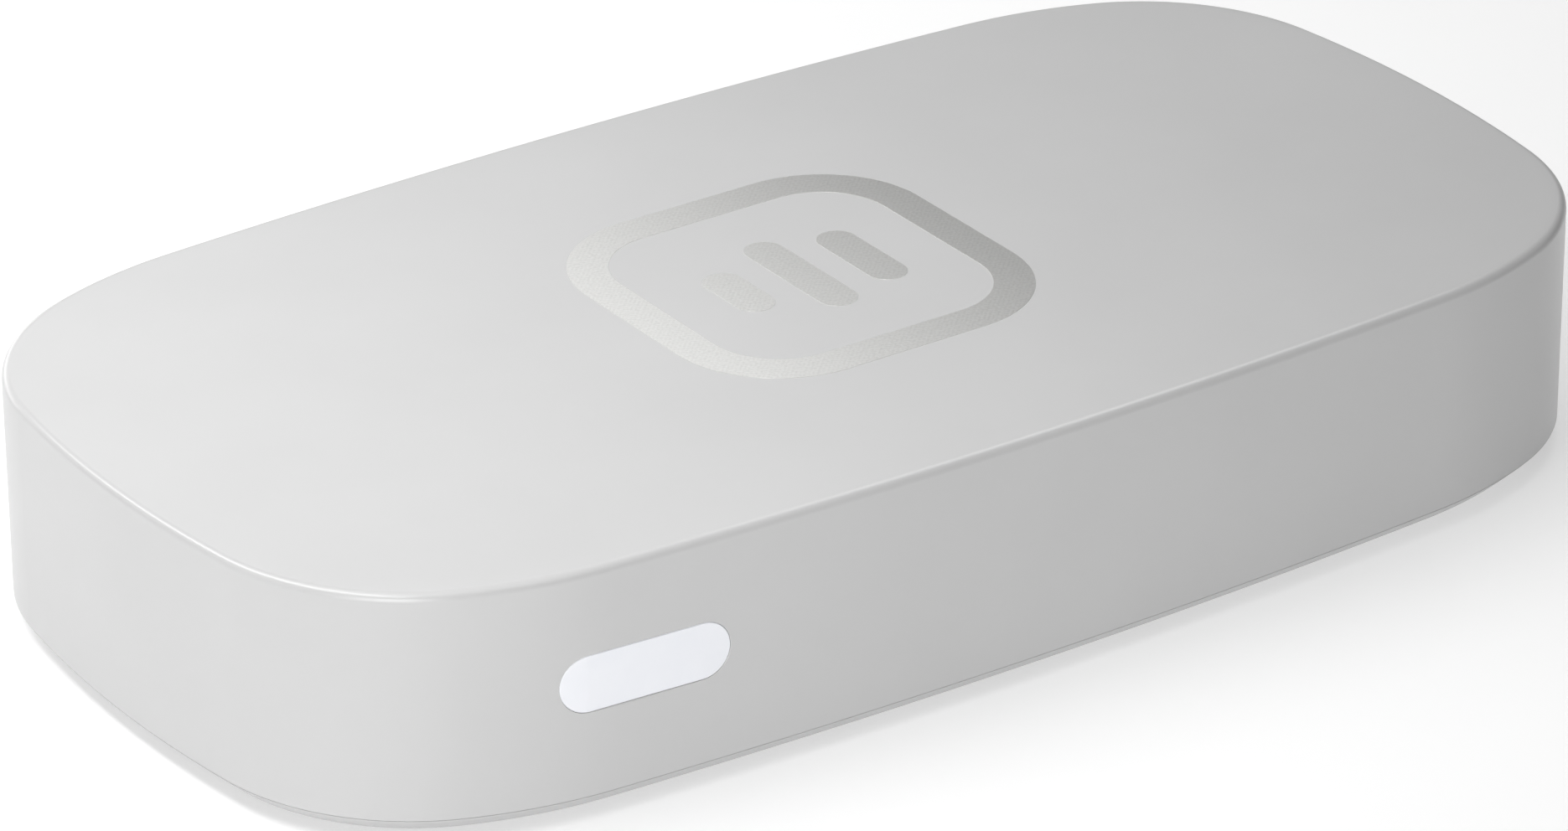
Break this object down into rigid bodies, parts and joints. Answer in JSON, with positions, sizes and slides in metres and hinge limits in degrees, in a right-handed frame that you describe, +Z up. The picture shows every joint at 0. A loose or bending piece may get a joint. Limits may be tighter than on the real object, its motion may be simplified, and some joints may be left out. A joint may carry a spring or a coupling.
{
  "type": "video capture interface box",
  "caption": "Palm-size light grey video interface box with rounded corners, a front status light window and rear video and data sockets.",
  "frame": {"origin": "centre of the plan outline, on the plane that the rubber feet stand on", "axes": "+X along the length, -Y towards the front wall with the status window, +Y towards the sockets, +Z up"},
  "size_m": [0.107, 0.057, 0.0178],
  "materials": {
    "housing": "light grey moulded plastic with a fine satin texture",
    "base": "light grey moulded plastic with a fine satin texture",
    "foot_rubber": "soft dark grey rubber",
    "dark_steel": "black zinc plated",
    "bright_steel": "nickel plated",
    "label": "blank satin silver film",
    "emblem_foil": "hot stamped silver foil with a fine woven grain",
    "diffuser": "milky translucent plastic, smooth",
    "clear_acrylic": "clear, polished",
    "black_foam": "soft black closed-cell foam",
    "led_resin": "white package with pale yellow resin",
    "solder_mask": "dark green lacquer over woven glass laminate",
    "socket_steel": "nickel plated stamped sheet",
    "socket_black": "black glass-filled plastic",
    "gold_contact": "gold plated",
    "shield_tin": "tin plated sheet",
    "anodised_black": "black anodised",
    "thermal_pad": "soft grey-blue filled silicone",
    "chip_epoxy": "black moulded epoxy",
    "crystal_can": "welded metal can",
    "ferrite": "dark grey pressed ferrite",
    "capacitor_body": "tan ceramic with tinned ends",
    "resistor_body": "black glazed ceramic with tinned ends"
  },
  "bodies": {
    "root": {"top_cover": "housing", "bottom_cover": "base", "rubber_feet": "foot_rubber", "case_screws": "dark_steel", "rating_label": "label", "top_emblem": "emblem_foil", "status_window": "diffuser", "light_guide": "clear_acrylic", "light_baffle": "black_foam", "status_leds": "led_resin", "circuit_board": "solder_mask", "board_screws": "bright_steel", "video_in_shell": "socket_steel", "video_in_tongue": "socket_black", "video_in_contacts": "gold_contact", "video_out_shell": "socket_steel", "video_out_tongue": "socket_black", "video_out_contacts": "gold_contact", "usb_c_shell": "socket_steel", "usb_c_tongue": "socket_black", "usb_c_contacts": "gold_contact", "shield_frame": "shield_tin", "shield_lid": "shield_tin", "heat_sink": "anodised_black", "heat_sink_pad": "thermal_pad", "chip_thermal_pads": "thermal_pad", "video_processor": "chip_epoxy", "memory_chips": "chip_epoxy", "video_receiver": "chip_epoxy", "video_retimer": "chip_epoxy", "usb_bridge": "chip_epoxy", "flash_chip": "chip_epoxy", "crystal_oscillators": "crystal_can", "power_inductors": "ferrite", "voltage_regulators": "chip_epoxy", "ceramic_capacitors": "capacitor_body", "chip_resistors": "resistor_body", "esd_arrays": "chip_epoxy"}
  },
  "joints": []
}
